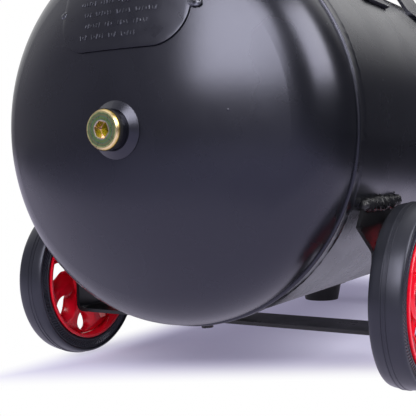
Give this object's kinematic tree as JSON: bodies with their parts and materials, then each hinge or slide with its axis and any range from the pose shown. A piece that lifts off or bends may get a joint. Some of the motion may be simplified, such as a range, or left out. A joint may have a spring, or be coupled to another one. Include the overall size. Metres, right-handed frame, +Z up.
{
  "type": "air compressor",
  "caption": "Wheeled horizontal air compressor: black tank, red wheels, front feet, oil-free piston pump on dampers, pressure switch, regulator, gauges and handle.",
  "frame": {"origin": "floor level below the middle of the tank, at the centre of the outline seen from above", "axes": "+X along the tank from the wheels to the handle, +Y to the left of someone facing +X, +Z up"},
  "size_m": [0.7208, 0.3598, 0.6126],
  "materials": {
    "tank_paint": "semi-gloss black powder coat",
    "bracket_paint": "semi-gloss black powder coat",
    "yellow_zinc": "iridescent yellow zinc plating",
    "bright_zinc": "bright zinc plating",
    "seal_rubber": "matt",
    "plate_metal": "semi-gloss black over pressed steel",
    "rim_red": "high gloss",
    "tyre_rubber": "satin",
    "foot_rubber": "matt",
    "brass": "machined",
    "copper": "drawn tube",
    "stator_iron": "varnished laminations",
    "cast_aluminium": "as cast",
    "ground_steel": "ground",
    "hard_anodised": "hard anodised",
    "black_plastic": "fine texture",
    "grey_plastic": "satin",
    "red_plastic": "gloss",
    "chrome": "polished",
    "dial_white": "white printed scale without text",
    "lens": "clear",
    "grip_rubber": "soft, fine ribs"
  },
  "bodies": {
    "tank": {"tank_shell": "tank_paint", "rear_head": "tank_paint", "front_head": "tank_paint", "weld_beads": "tank_paint", "inspection_bosses": "tank_paint", "plug_seals": "seal_rubber", "inspection_plugs": "yellow_zinc", "data_plate": "plate_metal", "axle_bracket": "bracket_paint", "axle_bolts": "bright_zinc", "axle_washers": "bright_zinc", "axle_nuts": "bright_zinc", "foot_bracket": "bracket_paint", "rubber_feet": "foot_rubber", "foot_screws": "bright_zinc", "drain_valve_body": "brass", "pump_saddles": "bracket_paint", "rubber_dampers": "foot_rubber", "damper_bolts": "bright_zinc", "motor_stator": "stator_iron", "shaft_bearings": "ground_steel", "crankcase_rear": "cast_aluminium", "crankcase_front": "cast_aluminium", "cylinder_sleeves": "hard_anodised", "cylinder_heads": "cast_aluminium", "head_bolts": "bright_zinc", "intake_filters": "black_plastic", "fan_covers": "black_plastic", "terminal_box": "black_plastic", "air_tubes": "copper", "check_valve": "brass", "manifold": "brass", "switch_base": "bright_zinc", "switch_cover": "black_plastic", "cable_gland": "black_plastic", "regulator_body": "cast_aluminium", "gauge_cases": "chrome", "gauge_dials": "dial_white", "gauge_lenses": "lens", "safety_valve_body": "brass", "coupler_body": "brass", "handle_tube": "bracket_paint", "handle_grip": "grip_rubber"},
    "wheel_left": {"wheel_rim_left": "rim_red", "tyre_left": "tyre_rubber"},
    "wheel_right": {"wheel_rim_right": "rim_red", "tyre_right": "tyre_rubber"},
    "motor": {"motor_shaft": "ground_steel", "motor_rotor": "stator_iron", "crank_eccentrics": "stator_iron", "cooling_fans": "grey_plastic"},
    "piston_rear": {"piston_rod_rear": "cast_aluminium"},
    "piston_front": {"piston_rod_front": "cast_aluminium"},
    "power_knob": {"switch_knob": "red_plastic"},
    "pressure_knob": {"regulator_knob": "black_plastic"},
    "tank_pointer": {"gauge_pointer_tank": "red_plastic"},
    "line_pointer": {"gauge_pointer_line": "red_plastic"},
    "coupler_ring": {"coupler_sleeve": "chrome"},
    "relief_ring": {"safety_valve_ring": "chrome"},
    "drain_tap": {"drain_screw": "black_plastic"}
  },
  "joints": [
    {"name": "wheel_left_spin", "type": "hinge", "parent": "tank", "child": "wheel_left", "pos_m": [-0.1907, 0.16615, 0.073], "axis": [0, 1, 0], "continuous": true},
    {"name": "wheel_right_spin", "type": "hinge", "parent": "tank", "child": "wheel_right", "pos_m": [-0.1907, -0.16615, 0.073], "axis": [0, 1, 0], "continuous": true},
    {"name": "motor_spin", "type": "hinge", "parent": "tank", "child": "motor", "pos_m": [-0.0475, 0, 0.4536], "axis": [1, 0, 0], "continuous": true},
    {"name": "rear_big_end", "type": "hinge", "parent": "motor", "child": "piston_rear", "pos_m": [-0.1275, 0, 0.4586], "axis": [1, 0, 0], "continuous": true},
    {"name": "front_big_end", "type": "hinge", "parent": "motor", "child": "piston_front", "pos_m": [0.0325, 0, 0.4486], "axis": [1, 0, 0], "continuous": true},
    {"name": "power_knob_pull", "type": "slide", "parent": "tank", "child": "power_knob", "axis": [0, 0, 1], "range_m": [0, 0.006]},
    {"name": "pressure_knob_turn", "type": "hinge", "parent": "tank", "child": "pressure_knob", "pos_m": [0.196, 0, 0.4466], "axis": [0, 0, 1], "range_deg": [0, 720]},
    {"name": "tank_pointer_swing", "type": "hinge", "parent": "tank", "child": "tank_pointer", "pos_m": [0.15, -0.049, 0.4056], "axis": [0, 1, 0], "range_deg": [0, 270], "stiffness_Nm_per_rad": 0.005},
    {"name": "line_pointer_swing", "type": "hinge", "parent": "tank", "child": "line_pointer", "pos_m": [0.196, -0.049, 0.4056], "axis": [0, 1, 0], "range_deg": [0, 270], "stiffness_Nm_per_rad": 0.005},
    {"name": "coupler_ring_slide", "type": "slide", "parent": "tank", "child": "coupler_ring", "axis": [-1, 0, 0], "range_m": [0, 0.004], "stiffness_N_per_m": 1500, "springref_m": -0.003},
    {"name": "relief_ring_pull", "type": "slide", "parent": "tank", "child": "relief_ring", "axis": [0, 1, 0], "range_m": [0, 0.003], "stiffness_N_per_m": 1500, "springref_m": -0.003},
    {"name": "drain_tap_turn", "type": "hinge", "parent": "tank", "child": "drain_tap", "pos_m": [-0.2305, 0, 0.0448], "axis": [0, 0, 1], "range_deg": [0, 360]}
  ],
  "couplings": [
    {"joint": "rear_big_end", "follows": "motor_spin", "ratio": -1},
    {"joint": "front_big_end", "follows": "motor_spin", "ratio": -1}
  ]
}
